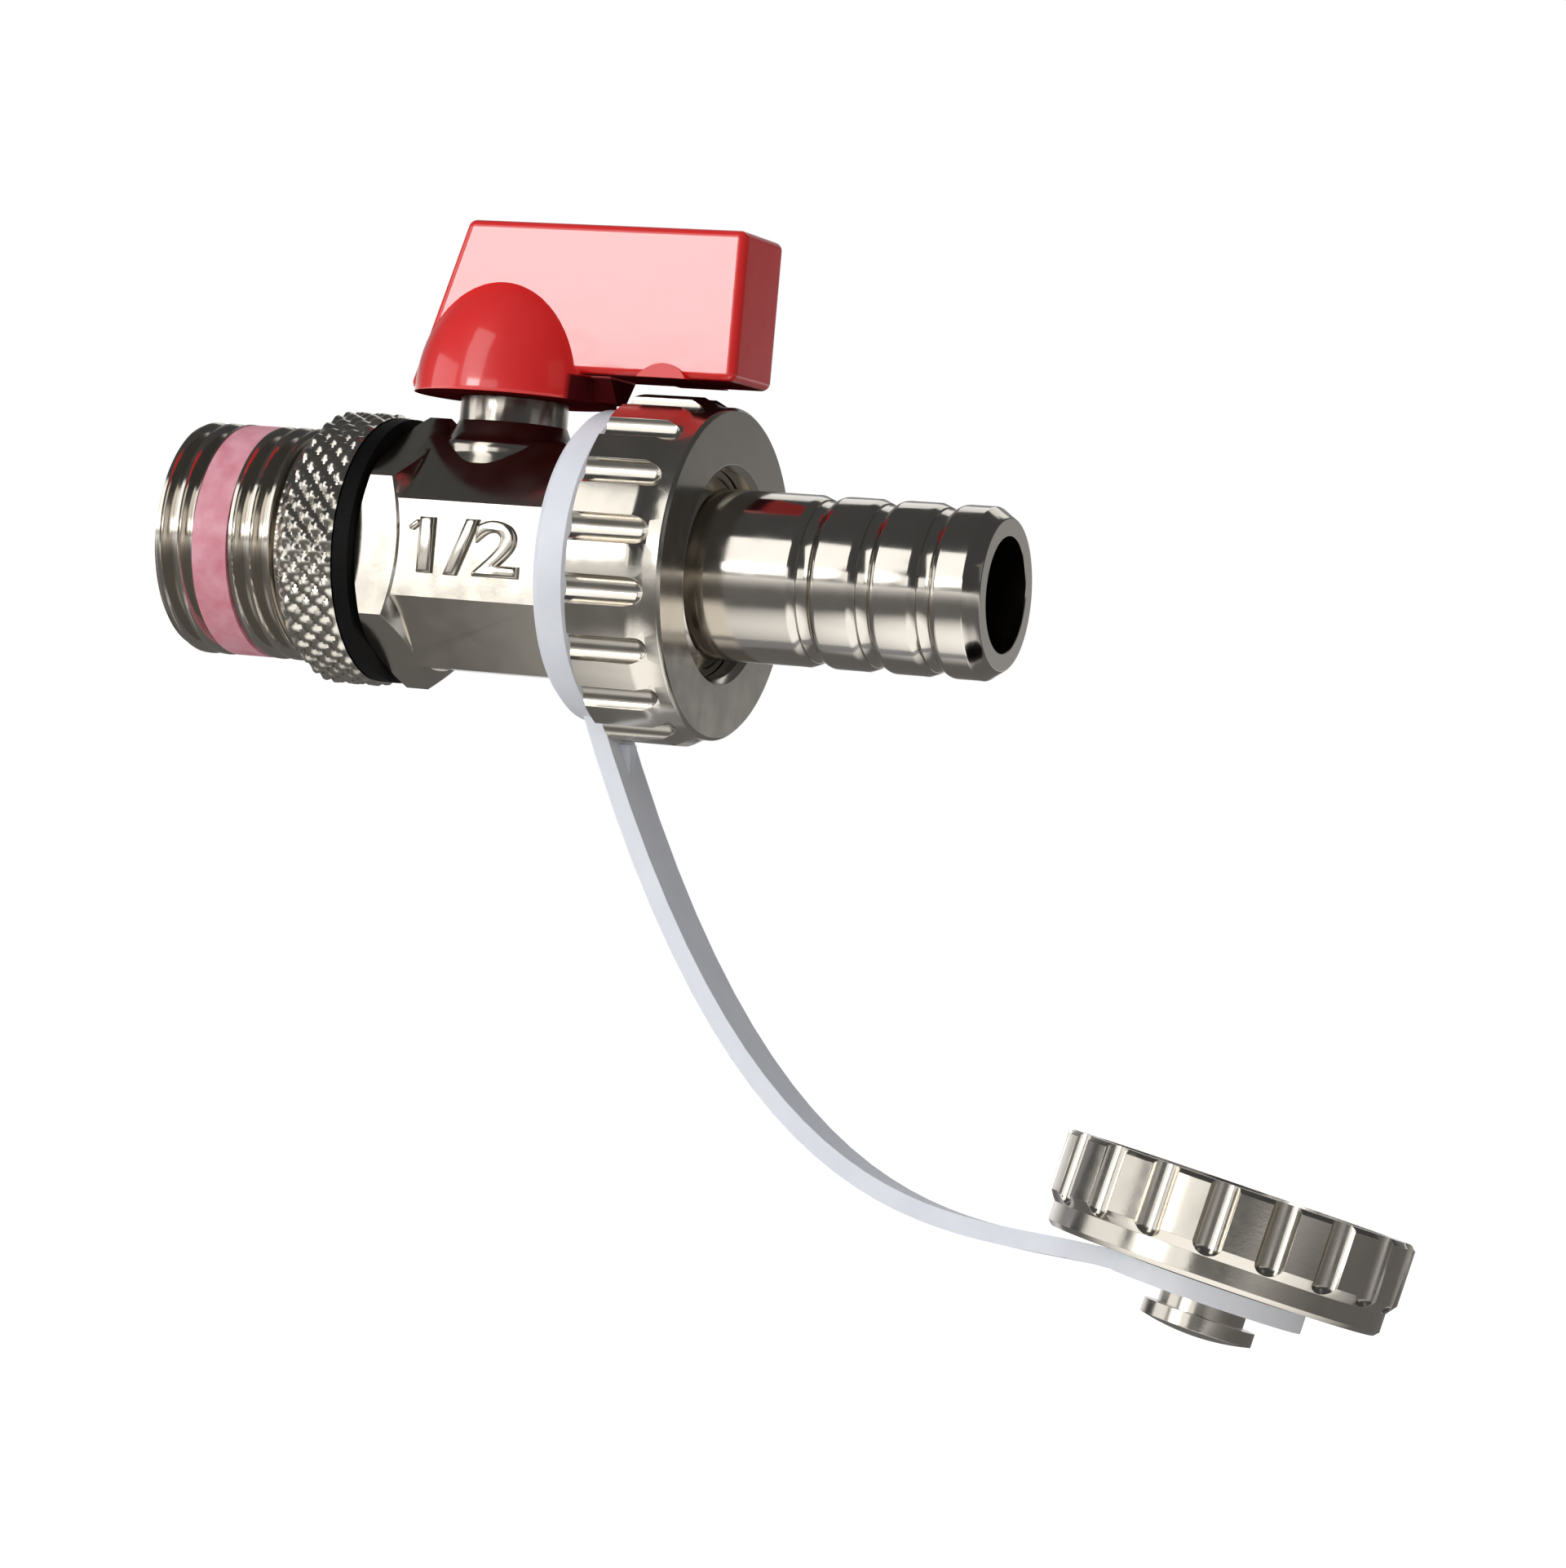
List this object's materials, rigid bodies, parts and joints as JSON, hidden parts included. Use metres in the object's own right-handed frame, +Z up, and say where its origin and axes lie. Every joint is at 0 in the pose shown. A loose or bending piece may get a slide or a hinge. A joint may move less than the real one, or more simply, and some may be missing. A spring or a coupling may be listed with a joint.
{
  "type": "boiler drain tap",
  "caption": "Plated ball valve for draining a boiler: sealed inlet thread, quarter-turn lever, union with a hose tail, and a blanking cap on a strap.",
  "frame": {"origin": "on the valve's axis, where the inlet thread reaches its full diameter at the inlet end", "axes": "+X along the valve from the inlet to the hose tail, +Z up along the stem, -Y towards the viewer"},
  "size_m": [0.1171, 0.0313, 0.0902],
  "materials": {
    "plated_body": "nickel plated over brass, satin",
    "plated_trim": "nickel plated over brass, bright",
    "ball_chrome": "polished chrome plate",
    "seat_plastic": "white PTFE",
    "bare_brass": "turned brass",
    "black_rubber": "matt black",
    "red_lacquer": "gloss red lacquer over die-cast metal",
    "screw_steel": "zinc plated",
    "pink_plastic": "pink plastic sealing ring",
    "strap_plastic": "pale grey flexible plastic"
  },
  "bodies": {
    "valve": {"body": "plated_body", "seat_inlet": "seat_plastic", "seat_outlet": "seat_plastic", "seat_retainer": "bare_brass", "thread_seal_ring": "pink_plastic", "collar_gasket": "black_rubber", "union_gasket": "black_rubber"},
    "ball": {"ball": "ball_chrome"},
    "handle": {"handle": "red_lacquer", "stem": "bare_brass", "stem_oring_lower": "black_rubber", "stem_oring_upper": "black_rubber", "stem_thrust_washer": "seat_plastic", "handle_screw": "screw_steel", "handle_washer": "screw_steel"},
    "collar": {"locking_collar": "plated_trim"},
    "nut": {"union_nut": "plated_trim"},
    "tail": {"hose_tail": "plated_trim"},
    "strap": {"strap": "strap_plastic"},
    "cap": {"blanking_cap": "plated_trim", "cap_gasket": "black_rubber"}
  },
  "joints": [
    {"name": "handle_turn", "type": "hinge", "parent": "valve", "child": "handle", "pos_m": [0.0294, 0, 0.0141], "axis": [0, 0, 1], "range_deg": [-90, 0]},
    {"name": "ball_turn", "type": "hinge", "parent": "valve", "child": "ball", "pos_m": [0.0294, 0, 0], "axis": [0, 0, 1], "range_deg": [-93, 3]},
    {"name": "collar_turn", "type": "hinge", "parent": "valve", "child": "collar", "pos_m": [0.0155, 0, 0], "axis": [1, 0, 0], "continuous": true},
    {"name": "union_nut_turn", "type": "hinge", "parent": "valve", "child": "nut", "pos_m": [0.0468, 0, 0], "axis": [1, 0, 0], "continuous": true},
    {"name": "hose_tail_turn", "type": "hinge", "parent": "valve", "child": "tail", "pos_m": [0.0485, 0, 0], "axis": [1, 0, 0], "continuous": true},
    {"name": "strap_swing", "type": "hinge", "parent": "valve", "child": "strap", "pos_m": [0.0406, 0, 0], "axis": [1, 0, 0], "range_deg": [-140, 140]},
    {"name": "cap_turn", "type": "hinge", "parent": "strap", "child": "cap", "pos_m": [0.1003, 0, -0.0554], "axis": [0.2026, 0.1357, 0.9698], "continuous": true}
  ],
  "couplings": [
    {"joint": "ball_turn", "follows": "handle_turn", "ratio": 1}
  ]
}
